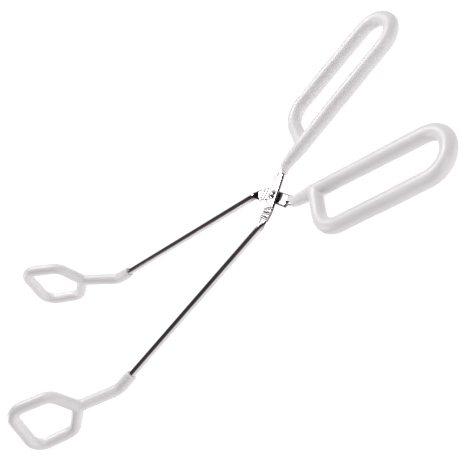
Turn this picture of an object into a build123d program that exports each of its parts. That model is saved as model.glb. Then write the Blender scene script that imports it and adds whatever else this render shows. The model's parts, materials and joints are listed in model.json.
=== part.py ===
"""Crucible tongs: two mirror-image bent wires, riveted where they cross, with dipped vinyl grips and jaws.

Millimetres and degrees.  The scissor plane is horizontal.  -X points to the jaws, +X to the handles, and
+Z along the rivet.  The origin is the middle of the footprint, on the surface that the tongs rest on.
"""

from build123d import *
import os
from math import cos, radians, sin, tan

# Wire and coatings
WIRE_DIAMETER = 3.8
HANDLE_COAT_DIAMETER = 7.7
JAW_COAT_DIAMETER = 6.4
COAT_END_ROUNDING = 1

# Rod and cranked neck.  Lean is the turn away from -X, climb is the rise out of the scissor plane.
ROD_LENGTH = 131.5
ROD_LEAN = 14
NECK_LENGTH = 24.5
NECK_LEAN = 17
NECK_CLIMB = 35
NECK_BEND_RADIUS = 10

# Jaw loop: a five-sided ring on edge, with its point at the neck
LOOP_LEAN = 12.5
LOOP_CLIMB = 30
LOOP_SHOULDER = 9.3
LOOP_SHOULDER_HALF_WIDTH = 16
LOOP_LENGTH = 34
LOOP_TIP_HALF_WIDTH = 17
LOOP_CORNER_RADIUS = 7.7
LOOP_START_RADIUS = 4.5
LOOP_WELD_GAP = 1

# Pressed flat that carries the rivet
FLAT_LEAN = 54.5
FLAT_WIDTH = 7
FLAT_THICKNESS = 1.6
ROD_BEND_DISTANCE = 13.3
FLAT_REAR_LENGTH = 11.6
REAR_SWELL_LENGTH = 2.4
HANDLE_BEND_DISTANCE = 17.5
FRONT_BEND_RADIUS = 16
REAR_BEND_RADIUS = 9
FLAT_SHARE_OF_FRONT_BEND = 0.62
FLAT_END_STEP = 0.15

# Marks that the press leaves across the top of the flat, along its curved stretch
PRESS_MARK_SHARES = [0.1, 0.47, 0.84]
PRESS_MARK_RADIUS = 1.2
PRESS_MARK_DEPTH = 0.32

# Finger loop, measured along and across its straight inner run
HANDLE_LEAN = 17
HANDLE_LENGTH = 92.8
HANDLE_END_WIDTH = 24.8
HANDLE_END_SET_BACK = 1
HANDLE_END_RADIUS = 12
RETURN_START = 20.8
RETURN_WIDTH = 27
RETURN_CORNER_RADIUS = 13.3
CLOSING_WELD = 15.3
CLOSING_SHORTFALL = 0.2

# Rivet and washers
RIVET_DIAMETER = 2.4
RIVET_CLEARANCE = 0.06
RIVET_HEAD_DIAMETER = 4.2
RIVET_HEAD_HEIGHT = 1.2
RIVET_TAIL_DIAMETER = 3.8
RIVET_TAIL_HEIGHT = 0.9
FRICTION_WASHER_DIAMETER = 6.4
FRICTION_WASHER_THICKNESS = 0.5
REAR_WASHER_DIAMETER = 5.4
REAR_WASHER_THICKNESS = 0.6
RUNNING_GAP = 0.03

# Where the coatings stop: along the rod in front, and at the level of the dip, square to X, behind
JAW_COAT_BEFORE_NECK = 12.5
HANDLE_DIP_LEVEL = 9.7


def heading(lean, climb=0):
    """Unit vector towards the jaws, turned towards +Y by lean and raised by climb."""
    level = cos(radians(climb))
    return Vector(-level * cos(radians(lean)), level * sin(radians(lean)), sin(radians(climb)))


def corner(point, before, after, radius):
    """Points where an arc of this radius leaves and joins the two straight runs that meet at point."""
    back = (before - point).normalized()
    ahead = (after - point).normalized()
    half_turn = radians(180 - back.get_angle(ahead)) / 2
    cut = radius * tan(half_turn)
    return point + back * cut, point + ahead * cut


# Centre line of the lower arm, with the pivot at the origin.  The upper arm is its mirror image.
FLAT_DIRECTION = heading(FLAT_LEAN)
ROD_END = FLAT_DIRECTION * ROD_BEND_DISTANCE
NECK_START = ROD_END + heading(ROD_LEAN) * ROD_LENGTH
LOOP_POINT = NECK_START + heading(NECK_LEAN, NECK_CLIMB) * NECK_LENGTH
HANDLE_START = FLAT_DIRECTION * -HANDLE_BEND_DISTANCE

LOOP_PLANE = Plane(
    origin=LOOP_POINT,
    x_dir=heading(LOOP_LEAN, LOOP_CLIMB),
    z_dir=heading(LOOP_LEAN - 90),
)
HANDLE_PLANE = Plane(origin=HANDLE_START, x_dir=-heading(HANDLE_LEAN), z_dir=(0, 0, -1))

LOOP_CORNERS = [
    LOOP_PLANE.from_local_coords(Vector(along, across))
    for along, across in [
        (LOOP_SHOULDER, LOOP_SHOULDER_HALF_WIDTH),
        (LOOP_LENGTH, LOOP_TIP_HALF_WIDTH),
        (LOOP_LENGTH, -LOOP_TIP_HALF_WIDTH),
        (LOOP_SHOULDER, -LOOP_SHOULDER_HALF_WIDTH),
    ]
]
HANDLE_END = HANDLE_PLANE.from_local_coords(Vector(HANDLE_LENGTH, 0))
HANDLE_END_OUTER = HANDLE_PLANE.from_local_coords(Vector(HANDLE_LENGTH - HANDLE_END_SET_BACK, HANDLE_END_WIDTH))
RETURN_CORNER = HANDLE_PLANE.from_local_coords(Vector(RETURN_START, RETURN_WIDTH))
WELD_POINT = HANDLE_PLANE.from_local_coords(Vector(CLOSING_WELD, CLOSING_SHORTFALL))

# The flat swells into the round wire in the last part of the front bend, and behind just before the rear bend
FRONT_BEND = corner(ROD_END, Vector(0, 0, 0), NECK_START, FRONT_BEND_RADIUS)
FLAT_REAR = FLAT_DIRECTION * -FLAT_REAR_LENGTH
FLAT_REAR_WIRE = FLAT_DIRECTION * -(FLAT_REAR_LENGTH + REAR_SWELL_LENGTH)

# The wire's end is welded to the neck at the loop's point, and the closing leg to the handle's inner run
LOOP_WELD = LOOP_POINT + (LOOP_CORNERS[0] - LOOP_POINT).normalized() * LOOP_WELD_GAP
LOOP_TIP = (LOOP_CORNERS[1] + LOOP_CORNERS[2]) / 2
RETURN_MIDDLE = (HANDLE_END_OUTER + RETURN_CORNER) / 2

# Heights at the rivet, from the scissor plane
FLAT_HEIGHT = (FRICTION_WASHER_THICKNESS + FLAT_THICKNESS) / 2
FLAT_OUTER_FACE = FRICTION_WASHER_THICKNESS / 2 + FLAT_THICKNESS


def tube(route, radii, diameter):
    """Round bar along straight runs joined by arcs."""
    with BuildLine() as line:
        FilletPolyline(*route, radius=radii)
    with BuildPart() as bar:
        with BuildSketch(Plane(origin=line.line @ 0, z_dir=line.line % 0)):
            Circle(diameter / 2)
        sweep(path=line.line)
    return bar.part


def jaw_bars(rod_end, diameter):
    """Round bars of one jaw: the welded half of the loop, then the other half with the neck and the rod."""
    loop_radii = [LOOP_CORNER_RADIUS, LOOP_CORNER_RADIUS]
    with BuildPart() as bars:
        add(tube([LOOP_WELD, *LOOP_CORNERS[:2], LOOP_TIP], loop_radii, diameter))
        add(
            tube(
                [LOOP_TIP, *LOOP_CORNERS[2:], LOOP_POINT, NECK_START, rod_end],
                [*loop_radii, LOOP_START_RADIUS, NECK_BEND_RADIUS],
                diameter,
            )
        )
    return bars.part


def handle_bars(start, diameter):
    """Round bars of one finger loop: inner run with the rounded end, then the return with its closing leg."""
    with BuildPart() as bars:
        add(
            tube(
                [start, HANDLE_START, HANDLE_END, HANDLE_END_OUTER, RETURN_MIDDLE],
                [REAR_BEND_RADIUS, HANDLE_END_RADIUS, HANDLE_END_RADIUS],
                diameter,
            )
        )
        add(tube([RETURN_MIDDLE, RETURN_CORNER, WELD_POINT], RETURN_CORNER_RADIUS, diameter))
    return bars.part


def swelling(line, flat_height):
    """Stretch where the flat swells into the round wire, lofted along a line from a small step inside it."""
    steps = 3
    start_width = FLAT_WIDTH - 2 * FLAT_END_STEP
    start_thickness = FLAT_THICKNESS - 2 * FLAT_END_STEP
    with BuildPart() as swell:
        for step in range(steps + 1):
            share = step / steps
            blend = share * share * (3 - 2 * share)
            middle = line @ share + Vector(0, 0, flat_height * (1 - blend))
            across = (line % share).cross(Vector(0, 0, 1))
            width = start_width + (WIRE_DIAMETER - start_width) * blend
            thickness = start_thickness + (WIRE_DIAMETER - start_thickness) * blend
            with BuildSketch(Plane(origin=middle, x_dir=across, z_dir=line % share)):
                Ellipse(width / 2, thickness / 2)
        loft()
    return swell.part


def pressed_flat(bend, flat_height, hole_diameter):
    """Drilled flat with rounded long edges, straight past the rivet and then curved along the given bend."""
    across = FLAT_DIRECTION.cross(Vector(0, 0, 1))
    with BuildLine() as middle:
        Line(FLAT_REAR, bend @ 0)
        add(bend)
    with BuildPart() as flat:
        with BuildSketch(Plane(origin=FLAT_REAR, x_dir=across, z_dir=FLAT_DIRECTION)):
            SlotOverall(FLAT_WIDTH, FLAT_THICKNESS)
        sweep(path=middle.line)
        Hole(hole_diameter / 2)
        mark_height = Vector(0, 0, FLAT_THICKNESS / 2 + PRESS_MARK_RADIUS - PRESS_MARK_DEPTH)
        for share in PRESS_MARK_SHARES:
            across_bend = (bend % share).cross(Vector(0, 0, 1))
            with BuildSketch(Plane(origin=bend @ share + mark_height, z_dir=across_bend)):
                Circle(PRESS_MARK_RADIUS)
            extrude(amount=FLAT_WIDTH, both=True, mode=Mode.SUBTRACT)
    return Pos(0, 0, flat_height) * flat.part


def bent_wire(flat_height, hole_diameter):
    """The lower arm's wire: jaw loop, neck, rod, drilled flat and finger loop in one piece."""
    front_bend = Edge.make_tangent_arc(FRONT_BEND[0], FLAT_DIRECTION, FRONT_BEND[1])
    flat_bend = front_bend.trim(0, FLAT_SHARE_OF_FRONT_BEND)
    swell_bend = front_bend.trim(FLAT_SHARE_OF_FRONT_BEND, 1)
    with BuildPart() as wire:
        add(pressed_flat(flat_bend, flat_height, hole_diameter))
        add(swelling(swell_bend, flat_height))
        add(swelling(Edge.make_line(FLAT_REAR, FLAT_REAR_WIRE), flat_height))
        add(jaw_bars(FRONT_BEND[1], WIRE_DIAMETER))
        add(handle_bars(FLAT_REAR_WIRE, WIRE_DIAMETER))
    return wire.part


def jaw_coat(wire):
    """Hollow coating of the jaw loop, the neck and the end of the rod, with a rounded rim on the rod."""
    start = NECK_START - heading(ROD_LEAN) * JAW_COAT_BEFORE_NECK
    with BuildPart() as coat:
        add(jaw_bars(start, JAW_COAT_DIAMETER))
        rims = coat.edges().filter_by(GeomType.CIRCLE)
        rim = rims.sort_by(lambda edge: (edge.arc_center - start).length)[0]
        fillet(rim, radius=COAT_END_ROUNDING)
        add(wire, mode=Mode.SUBTRACT)
    return coat.part


def handle_coat(wire):
    """Hollow coating of the whole finger loop.  It ends on a slant to the wire, at the level of the dip."""
    with BuildPart() as coat:
        add(handle_bars(FLAT_REAR, HANDLE_COAT_DIAMETER))
        split(bisect_by=Plane.YZ.offset(HANDLE_DIP_LEVEL), keep=Keep.TOP)
        add(wire, mode=Mode.SUBTRACT)
    return coat.part


# Lower arm: far jaw on the +Y side, its flat under the other one.  The rivet turns in its hole.
arm_lower = bent_wire(-FLAT_HEIGHT, RIVET_DIAMETER + 2 * RIVET_CLEARANCE)
jaw_coat_lower = jaw_coat(arm_lower)
handle_coat_lower = handle_coat(arm_lower)

# Upper arm: made like the lower one and mirrored to the -Y side.  The rivet is tight in its hole.
arm_upper = bent_wire(FLAT_HEIGHT, RIVET_DIAMETER)
jaw_coat_upper = jaw_coat(arm_upper)
handle_coat_upper = handle_coat(arm_upper)

# Rivet: domed head on top, shank through both flats, clinched tail below the rear washer
tail_face = -FLAT_OUTER_FACE - RUNNING_GAP - REAR_WASHER_THICKNESS
with BuildPart() as pivot_rivet:
    with BuildSketch(Plane.XZ):
        with BuildLine():
            head_edge = (RIVET_HEAD_DIAMETER / 2, FLAT_OUTER_FACE)
            tail_edge = (RIVET_TAIL_DIAMETER / 2, tail_face)
            top = (0, FLAT_OUTER_FACE + RIVET_HEAD_HEIGHT)
            bottom = (0, tail_face - RIVET_TAIL_HEIGHT)
            Line(bottom, top)
            TangentArc(top, head_edge, tangent=(1, 0))
            Polyline(
                head_edge,
                (RIVET_DIAMETER / 2, FLAT_OUTER_FACE),
                (RIVET_DIAMETER / 2, tail_face),
                tail_edge,
            )
            TangentArc(bottom, tail_edge, tangent=(1, 0))
        make_face()
    revolve(axis=Axis.Z)

# Friction washer: lies on the lower flat and turns round the rivet
with BuildPart() as friction_washer:
    with BuildSketch(Plane.XY.offset(-FRICTION_WASHER_THICKNESS / 2)):
        Circle(FRICTION_WASHER_DIAMETER / 2)
        Circle(RIVET_DIAMETER / 2 + RIVET_CLEARANCE, mode=Mode.SUBTRACT)
    extrude(amount=FRICTION_WASHER_THICKNESS - RUNNING_GAP)

# Rear washer: tight on the rivet, between the lower flat and the tail
with BuildPart() as rear_washer:
    with BuildSketch(Plane.XY.offset(tail_face)):
        Circle(REAR_WASHER_DIAMETER / 2)
        Circle(RIVET_DIAMETER / 2, mode=Mode.SUBTRACT)
    extrude(amount=REAR_WASHER_THICKNESS)

pieces = {
    "arm_lower": arm_lower,
    "jaw_coat_lower": jaw_coat_lower,
    "handle_coat_lower": handle_coat_lower,
    "arm_upper": arm_upper.mirror(Plane.XZ),
    "jaw_coat_upper": jaw_coat_upper.mirror(Plane.XZ),
    "handle_coat_upper": handle_coat_upper.mirror(Plane.XZ),
    "pivot_rivet": pivot_rivet.part,
    "friction_washer": friction_washer.part,
    "rear_washer": rear_washer.part,
}

# The origin moves from the pivot to the middle of the footprint, and the tongs' underside to Z = 0
box = Compound(list(pieces.values())).bounding_box()
to_footprint = Pos(-box.center().X, 0, -box.min.Z)
print("pivot axis at", to_footprint.position, "overall size", box.size)

os.makedirs("parts", exist_ok=True)
for label, piece in pieces.items():
    placed = to_footprint * piece
    placed.label = label
    export_step(placed, f"parts/{label}.step")
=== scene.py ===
"""Crucible tongs: plated wire arms, a small rivet, and grips and jaws dipped in white vinyl."""

import json
from math import cos, radians, sin

import bpy
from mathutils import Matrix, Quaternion, Vector, noise
from mathutils.bvhtree import BVHTree


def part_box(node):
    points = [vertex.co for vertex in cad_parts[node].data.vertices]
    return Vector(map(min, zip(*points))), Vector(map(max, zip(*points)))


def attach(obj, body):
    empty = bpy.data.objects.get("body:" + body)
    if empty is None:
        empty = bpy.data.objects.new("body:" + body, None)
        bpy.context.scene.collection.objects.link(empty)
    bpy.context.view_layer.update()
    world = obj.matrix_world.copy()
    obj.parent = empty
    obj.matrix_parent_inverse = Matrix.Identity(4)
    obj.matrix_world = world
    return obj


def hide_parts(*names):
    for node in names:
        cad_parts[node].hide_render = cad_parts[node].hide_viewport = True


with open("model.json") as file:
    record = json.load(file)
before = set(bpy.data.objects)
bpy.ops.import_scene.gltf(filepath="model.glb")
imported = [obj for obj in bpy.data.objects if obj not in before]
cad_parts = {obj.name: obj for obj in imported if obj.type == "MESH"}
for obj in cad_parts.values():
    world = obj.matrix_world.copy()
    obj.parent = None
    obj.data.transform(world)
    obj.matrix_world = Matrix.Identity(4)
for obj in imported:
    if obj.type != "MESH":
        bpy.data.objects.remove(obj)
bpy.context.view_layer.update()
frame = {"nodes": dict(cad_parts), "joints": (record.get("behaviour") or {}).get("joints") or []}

MM = 0.001

PIVOT = Vector(frame["joints"][0]["pos_m"])

# Camera: where it aims from the pivot, and how it stands round that point
AIM_FROM_PIVOT = Vector((-0.0315, -0.0031, 0))
CAMERA_AZIMUTH = 32.83
CAMERA_ELEVATION = 32.16
CAMERA_ROLL = -59.48
CAMERA_DISTANCE = 0.4319
CAMERA_LENS = 61.05

# Vinyl dip: fineness of the remesh, and how far the coat wavers
COAT_VOXEL = 0.45 * MM
COAT_SMOOTHING = 20
COAT_SMOOTHING_STRENGTH = 0.5
COAT_SWELL = 0.16 * MM
COAT_WAVER = 0.18 * MM
COAT_WAVE_LENGTH = 14 * MM

# The dip thins out towards the level it was dipped to: its thickness there, and how fast it grows
HANDLE_FILM = 0.75 * MM
JAW_FILM = 1.15 * MM
FILM_GROWTH = 0.09

# Pressed part of each arm: how far it reaches from the pivot, over what length it fades into the round wire,
# and how much rougher it is
PRESSED_REACH = 16 * MM
PRESSED_FADE = 5 * MM
PRESSED_DULLING = 0.28

# Size of the normal's Z, which is 1 on a level face, where the mask of the flats' faces or of their edges is
# whole or gone
FACE_WHOLE = 0.99
FACE_GONE = 0.93
EDGE_WHOLE = 0.85
EDGE_GONE = 0.98

# Painted shade: reach of the disc that is darkened where the flats overlap and of the ring round the rivet's
# head, how fast they fade, the colour, and how much of it the flats' long edges have as a painted dark
# reflection
OVERLAP_SHADE_DISC = 6.2 * MM
HEAD_SHADE_RING = 2.8 * MM
PAINTED_SHADE_FADE = 0.4 * MM
SHADE_AND_REFLECTION_COLOUR = (0.05, 0.042, 0.046)
EDGE_PAINTED_REFLECTION = 0.8

# Drawing lines run along each rod, which leans this many degrees from X
ROD_LEAN = 14

# Noise mostly lies between these values
NOISE_LOW = 0.3
NOISE_HIGH = 0.7

FLOOR_HALF_WIDTH = 6.0
FLOOR_GLOW = 1.0

# Soft boxes: name, direction from the pivot, width, height and power
LIGHT_DISTANCE = 1.2
LIGHTS = (
    ("key", (-0.07, 0.57, 0.82), 0.6, 0.5, 12.5),
    ("front_fill", (0.62, -0.62, 0.48), 0.8, 0.5, 7),
    ("left_fill", (-0.95, 0, 0.31), 0.5, 0.5, 5),
)

# Room: how far towards +X it starts to darken, where it is darkest, and the brightness left there
CURTAIN_START = 0.2
CURTAIN_END = 0.7
CURTAIN_STRENGTH = 0.15


def new_material(name):
    """Empty node material with a Principled shader; returns the material, its nodes, links and shader."""
    material = bpy.data.materials.new(name)
    material.use_nodes = True
    nodes = material.node_tree.nodes
    links = material.node_tree.links
    return material, nodes, links, nodes["Principled BSDF"]


def object_noise(nodes, links, scale, detail=3.0, stretch=(1, 1, 1), turn=0.0):
    """Noise in object coordinates, turned about Z and stretched, returned as its Fac socket."""
    place = nodes.new("ShaderNodeTexCoord")
    mapping = nodes.new("ShaderNodeMapping")
    mapping.inputs["Rotation"].default_value = (0, 0, turn)
    mapping.inputs["Scale"].default_value = stretch
    texture = nodes.new("ShaderNodeTexNoise")
    texture.inputs["Scale"].default_value = scale
    texture.inputs["Detail"].default_value = detail
    links.new(place.outputs["Object"], mapping.inputs["Vector"])
    links.new(mapping.outputs["Vector"], texture.inputs["Vector"])
    return texture.outputs["Fac"]


def colour_ramp(nodes, links, fac, stops):
    """Colour ramp driven by fac; stops are (position, colour) pairs."""
    ramp = nodes.new("ShaderNodeValToRGB")
    ramp.color_ramp.elements[0].position = stops[0][0]
    ramp.color_ramp.elements[0].color = (*stops[0][1], 1)
    ramp.color_ramp.elements[1].position = stops[-1][0]
    ramp.color_ramp.elements[1].color = (*stops[-1][1], 1)
    for position, colour in stops[1:-1]:
        ramp.color_ramp.elements.new(position).color = (*colour, 1)
    links.new(fac, ramp.inputs["Fac"])
    return ramp.outputs["Color"]


def map_range(nodes, links, value, start, end, low, high):
    """Low where value is at start, high where it is at end, and even steps between."""
    node = nodes.new("ShaderNodeMapRange")
    node.inputs["From Min"].default_value = start
    node.inputs["From Max"].default_value = end
    node.inputs["To Min"].default_value = low
    node.inputs["To Max"].default_value = high
    links.new(value, node.inputs["Value"])
    return node.outputs["Result"]


def noise_range(nodes, links, fac, low, high):
    """Spreads noise over a range of values."""
    return map_range(nodes, links, fac, NOISE_LOW, NOISE_HIGH, low, high)


def fade(nodes, links, value, whole, gone):
    """One where value is at whole or past it, and nothing where it is at gone or past it."""
    return map_range(nodes, links, value, gone, whole, 0, 1)


def bump(nodes, links, shader, layers):
    """Stacks bump maps; layers are (height socket, strength, distance)."""
    normal = None
    for height, strength, distance in layers:
        node = nodes.new("ShaderNodeBump")
        node.inputs["Strength"].default_value = strength
        node.inputs["Distance"].default_value = distance
        links.new(height, node.inputs["Height"])
        if normal:
            links.new(normal, node.inputs["Normal"])
        normal = node.outputs["Normal"]
    links.new(normal, shader.inputs["Normal"])


def math_node(nodes, links, operation, *values):
    """Math node on sockets or plain numbers; returns its result."""
    node = nodes.new("ShaderNodeMath")
    node.operation = operation
    for socket, value in zip(node.inputs, values):
        if isinstance(value, bpy.types.NodeSocket):
            links.new(value, socket)
        else:
            socket.default_value = value
    return node.outputs["Value"]


def pivot_distance(nodes, links, flatten):
    """Distance from the pivot in object coordinates, or with flatten the distance from the pivot's axis."""
    kept = Vector((1, 1, 0 if flatten else 1))
    place = nodes.new("ShaderNodeTexCoord")
    keep = nodes.new("ShaderNodeVectorMath")
    keep.operation = "MULTIPLY"
    keep.inputs[1].default_value = kept
    distance = nodes.new("ShaderNodeVectorMath")
    distance.operation = "DISTANCE"
    distance.inputs[1].default_value = PIVOT * kept
    links.new(place.outputs["Object"], keep.inputs[0])
    links.new(keep.outputs["Vector"], distance.inputs[0])
    return distance.outputs["Value"]


def pressed_masks(nodes, links):
    """Masks of the flat faces that the press left round the pivot, and of their long edges."""
    place = nodes.new("ShaderNodeTexCoord")
    normal = nodes.new("ShaderNodeSeparateXYZ")
    links.new(place.outputs["Normal"], normal.inputs["Vector"])
    levelness = math_node(nodes, links, "ABSOLUTE", normal.outputs["Z"])
    distance = pivot_distance(nodes, links, False)
    near = fade(nodes, links, distance, PRESSED_REACH, PRESSED_REACH + PRESSED_FADE)
    level = fade(nodes, links, levelness, FACE_WHOLE, FACE_GONE)
    steep = fade(nodes, links, levelness, EDGE_WHOLE, EDGE_GONE)
    faces = math_node(nodes, links, "MULTIPLY", near, level)
    edges = math_node(nodes, links, "MULTIPLY", near, steep)
    return faces, edges


def plated_wire(name, lean, shade_reach):
    """Bright plating over drawn wire: faint lines along the rod, smudges and tiny pits, and dull flats.

    lean is the rod's turn from X in degrees.  The long edges of the flat are painted dark as a painted
    reflection of the dark room, and a disc round the rivet, as far out as the reach argument, is painted dark
    as painted shade.
    """
    material, nodes, links, shader = new_material(name)
    shader.inputs["Metallic"].default_value = 1
    smudge = object_noise(nodes, links, 90, 4)
    drawn = object_noise(nodes, links, 1, 2, stretch=(40, 2600, 2600), turn=radians(lean))
    pits = object_noise(nodes, links, 2400, 2)
    tint = colour_ramp(nodes, links, smudge, [(0.35, (0.62, 0.60, 0.61)), (0.65, (0.72, 0.705, 0.71))])
    faces, edges = pressed_masks(nodes, links)
    # Painted shade: a disc round the pivot's axis is darkened where the flats overlap or round the rivet's
    # head, and the long edges get a painted dark reflection of the room in the same colour
    from_axis = pivot_distance(nodes, links, True)
    disc = fade(nodes, links, from_axis, shade_reach - PAINTED_SHADE_FADE, shade_reach)
    painted_edge_reflection = math_node(nodes, links, "MULTIPLY", edges, EDGE_PAINTED_REFLECTION)
    painted_dark = math_node(nodes, links, "MAXIMUM", disc, painted_edge_reflection)
    blend = nodes.new("ShaderNodeMix")
    blend.data_type = "RGBA"
    blend.inputs["B"].default_value = (*SHADE_AND_REFLECTION_COLOUR, 1)
    links.new(painted_dark, blend.inputs["Factor"])
    links.new(tint, blend.inputs["A"])
    links.new(blend.outputs["Result"], shader.inputs["Base Color"])
    polish = noise_range(nodes, links, smudge, 0.07, 0.15)
    dulling = math_node(nodes, links, "MULTIPLY_ADD", faces, PRESSED_DULLING, polish)
    links.new(dulling, shader.inputs["Roughness"])
    bump(nodes, links, shader, [(drawn, 0.10, 0.05 * MM), (pits, 0.05, 0.03 * MM)])
    return material


def rivet_steel():
    """Softer, slightly hammered plating of the rivet and its washer."""
    material, nodes, links, shader = new_material("rivet_steel")
    shader.inputs["Metallic"].default_value = 1
    dents = object_noise(nodes, links, 700, 2)
    smudge = object_noise(nodes, links, 300, 4)
    tint = colour_ramp(nodes, links, smudge, [(0.35, (0.66, 0.65, 0.65)), (0.65, (0.84, 0.83, 0.82))])
    links.new(tint, shader.inputs["Base Color"])
    links.new(noise_range(nodes, links, smudge, 0.14, 0.28), shader.inputs["Roughness"])
    bump(nodes, links, shader, [(dents, 0.35, 0.12 * MM)])
    return material


def washer_steel():
    """Washer between the flats, coloured dark as painted shade of the gap between the flats, with rub marks.
    """
    material, nodes, links, shader = new_material("washer_steel")
    shader.inputs["Metallic"].default_value = 1
    rub = object_noise(nodes, links, 900, 3)
    tint = colour_ramp(nodes, links, rub, [(0.35, (0.10, 0.095, 0.09)), (0.65, (0.18, 0.175, 0.17))])
    links.new(tint, shader.inputs["Base Color"])
    links.new(noise_range(nodes, links, rub, 0.3, 0.5), shader.inputs["Roughness"])
    bump(nodes, links, shader, [(rub, 0.2, 0.05 * MM)])
    return material


def white_vinyl():
    """Soft dipped vinyl: warm white, faintly waxy, with shallow sags and a very fine orange peel."""
    material, nodes, links, shader = new_material("white_vinyl")
    tone = object_noise(nodes, links, 45, 3)
    sag = object_noise(nodes, links, 110, 1)
    peel = object_noise(nodes, links, 1300, 2)
    whites = [(0.3, (0.68, 0.66, 0.665)), (0.55, (0.70, 0.68, 0.685)), (0.75, (0.72, 0.705, 0.71))]
    links.new(colour_ramp(nodes, links, tone, whites), shader.inputs["Base Color"])
    links.new(noise_range(nodes, links, tone, 0.40, 0.50), shader.inputs["Roughness"])
    shader.inputs["IOR"].default_value = 1.5
    shader.inputs["Subsurface Weight"].default_value = 0.15
    shader.inputs["Subsurface Radius"].default_value = (1.0, 0.9, 0.85)
    shader.inputs["Subsurface Scale"].default_value = 1.5 * MM
    shader.inputs["Coat Weight"].default_value = 0.12
    shader.inputs["Coat Roughness"].default_value = 0.22
    bump(nodes, links, shader, [(sag, 0.12, 0.4 * MM), (peel, 0.04, 0.04 * MM)])
    return material


def set_material(piece, material):
    """Gives one material to the whole piece."""
    piece.data.materials.clear()
    piece.data.materials.append(material)


def apply_modifiers(piece):
    """Turns the piece's modifiers into plain mesh."""
    graph = bpy.context.evaluated_depsgraph_get()
    mesh = bpy.data.meshes.new_from_object(piece.evaluated_get(graph))
    piece.modifiers.clear()
    piece.data = mesh


def wire_surface(arm):
    """The arm's surface, to measure a coat's thickness from."""
    corners = [vertex.co for vertex in arm.data.vertices]
    faces = [polygon.vertices for polygon in arm.data.polygons]
    return BVHTree.FromPolygons(corners, faces)


def dipped_coat(node, body, wire, material, level, away, least):
    """The coat of one loop as dipping leaves it: webs in the corners, an uneven skin, and a thin start.

    wire is the surface under the coat, level the X of the dip's level, away 1 or -1, the way along X in which
    the coat gets thicker, and least its thickness at the level.
    """
    coat = bpy.data.objects.new("dip_" + node, frame["nodes"][node].data.copy())
    bpy.context.scene.collection.objects.link(coat)
    remesh = coat.modifiers.new("remesh", "REMESH")
    remesh.mode = "VOXEL"
    remesh.voxel_size = COAT_VOXEL
    smooth = coat.modifiers.new("smooth", "SMOOTH")
    smooth.factor = COAT_SMOOTHING_STRENGTH
    smooth.iterations = COAT_SMOOTHING
    apply_modifiers(coat)
    mesh = coat.data
    mesh.update()
    places = []
    for vertex in mesh.vertices:
        wave = noise.noise(vertex.co / COAT_WAVE_LENGTH)
        place = vertex.co + vertex.normal * (COAT_SWELL + COAT_WAVER * wave)
        film = least + FILM_GROWTH * max((place.x - level) * away, 0)
        surface, outward, _, depth = wire.find_nearest(place)
        if depth > film and (place - surface).dot(outward) > 0:
            place = surface + (place - surface) * (film / depth)
        # The tongs rest on the floor, so no part of the coat is below it
        place.z = max(place.z, 0)
        places.append(place)
    for vertex, place in zip(mesh.vertices, places):
        vertex.co = place
    mesh.shade_smooth()
    set_material(coat, material)
    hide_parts(node)
    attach(coat, body)


def make_floor():
    """Plain white sheet that the tongs lie on, lit evenly from within like a light table."""
    mesh = bpy.data.meshes.new("floor")
    half = FLOOR_HALF_WIDTH
    corners = [(-half, -half, 0), (half, -half, 0), (half, half, 0), (-half, half, 0)]
    mesh.from_pydata(corners, [], [(0, 1, 2, 3)])
    floor = bpy.data.objects.new("floor", mesh)
    bpy.context.scene.collection.objects.link(floor)
    material, nodes, links, shader = new_material("floor")
    shader.inputs["Roughness"].default_value = 0.9
    shader.inputs["Specular IOR Level"].default_value = 0
    grain = object_noise(nodes, links, 30, 2)
    pale = colour_ramp(nodes, links, grain, [(0.3, (0.08, 0.08, 0.08)), (0.7, (0.10, 0.10, 0.10))])
    links.new(pale, shader.inputs["Base Color"])
    shader.inputs["Emission Color"].default_value = (1, 1, 1, 1)
    shader.inputs["Emission Strength"].default_value = FLOOR_GLOW
    set_material(floor, material)


def make_light(name, direction, width, height, power):
    """Rectangular soft box that faces the pivot from the given direction."""
    data = bpy.data.lights.new(name, "AREA")
    data.shape = "RECTANGLE"
    data.size = width
    data.size_y = height
    data.energy = power
    light = bpy.data.objects.new(name, data)
    away = Vector(direction).normalized()
    light.location = PIVOT + away * LIGHT_DISTANCE
    light.rotation_mode = "QUATERNION"
    light.rotation_quaternion = (-away).to_track_quat("-Z", "Y")
    bpy.context.scene.collection.objects.link(light)


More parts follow.
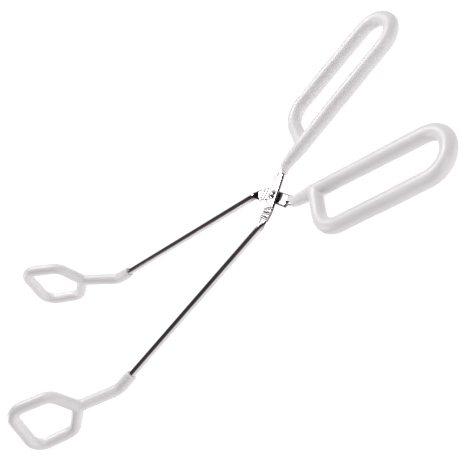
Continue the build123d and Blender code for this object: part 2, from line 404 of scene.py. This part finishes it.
def make_world():
    """Dim room for the plating to mirror: pale towards the horizon, nearly black overhead and towards +X."""
    world = bpy.data.worlds.new("studio")
    world.use_nodes = True
    nodes = world.node_tree.nodes
    links = world.node_tree.links
    place = nodes.new("ShaderNodeTexCoord")
    split = nodes.new("ShaderNodeSeparateXYZ")
    links.new(place.outputs["Generated"], split.inputs["Vector"])
    horizon = (0.75, 0.74, 0.74)
    haze = (0.60, 0.58, 0.59)
    dark = (0.075, 0.062, 0.067)
    overhead = (0.05, 0.04, 0.044)
    stops = [(0, horizon), (0.15, haze), (0.5, dark), (1, overhead)]
    links.new(colour_ramp(nodes, links, split.outputs["Z"], stops), nodes["Background"].inputs["Color"])
    curtain = map_range(nodes, links, split.outputs["X"], CURTAIN_START, CURTAIN_END, 1, CURTAIN_STRENGTH)
    links.new(curtain, nodes["Background"].inputs["Strength"])
    bpy.context.scene.world = world


def make_camera():
    """Looks down over the handles towards the jaws, rolled so that the handles are at the upper right."""
    data = bpy.data.cameras.new("camera")
    data.lens = CAMERA_LENS
    data.sensor_width = 36
    data.clip_start = 0.01
    azimuth = radians(CAMERA_AZIMUTH)
    elevation = radians(CAMERA_ELEVATION)
    back = Vector((sin(azimuth) * cos(elevation), -cos(azimuth) * cos(elevation), sin(elevation)))
    camera = bpy.data.objects.new("camera", data)
    camera.location = PIVOT + AIM_FROM_PIVOT + back * CAMERA_DISTANCE
    camera.rotation_mode = "QUATERNION"
    upright = (-back).to_track_quat("-Z", "Y")
    camera.rotation_quaternion = upright @ Quaternion((0, 0, 1), radians(CAMERA_ROLL))
    bpy.context.scene.collection.objects.link(camera)
    bpy.context.scene.camera = camera


make_camera()
make_floor()
make_world()
for name, direction, width, height, power in LIGHTS:
    make_light(name, direction, width, height, power)
bpy.context.scene.view_settings.view_transform = "Standard"

vinyl = white_vinyl()
rivet_metal = rivet_steel()
# Painted shade on each arm: a wide disc on the lower arm where the upper flat lies over it, and a ring round
# the rivet's head on the upper arm
for body, side, lean, painted_dark in (
    ("lower_arm", "lower", ROD_LEAN, OVERLAP_SHADE_DISC),
    ("upper_arm", "upper", -ROD_LEAN, HEAD_SHADE_RING),
):
    arm = frame["nodes"]["arm_" + side]
    set_material(arm, plated_wire("plated_wire_" + side, lean, painted_dark))
    wire = wire_surface(arm)
    handle_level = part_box("handle_coat_" + side)[0][0]
    jaw_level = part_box("jaw_coat_" + side)[1][0]
    dipped_coat("handle_coat_" + side, body, wire, vinyl, handle_level, 1, HANDLE_FILM)
    dipped_coat("jaw_coat_" + side, body, wire, vinyl, jaw_level, -1, JAW_FILM)
set_material(frame["nodes"]["pivot_rivet"], rivet_metal)
set_material(frame["nodes"]["rear_washer"], rivet_metal)
set_material(frame["nodes"]["friction_washer"], washer_steel())
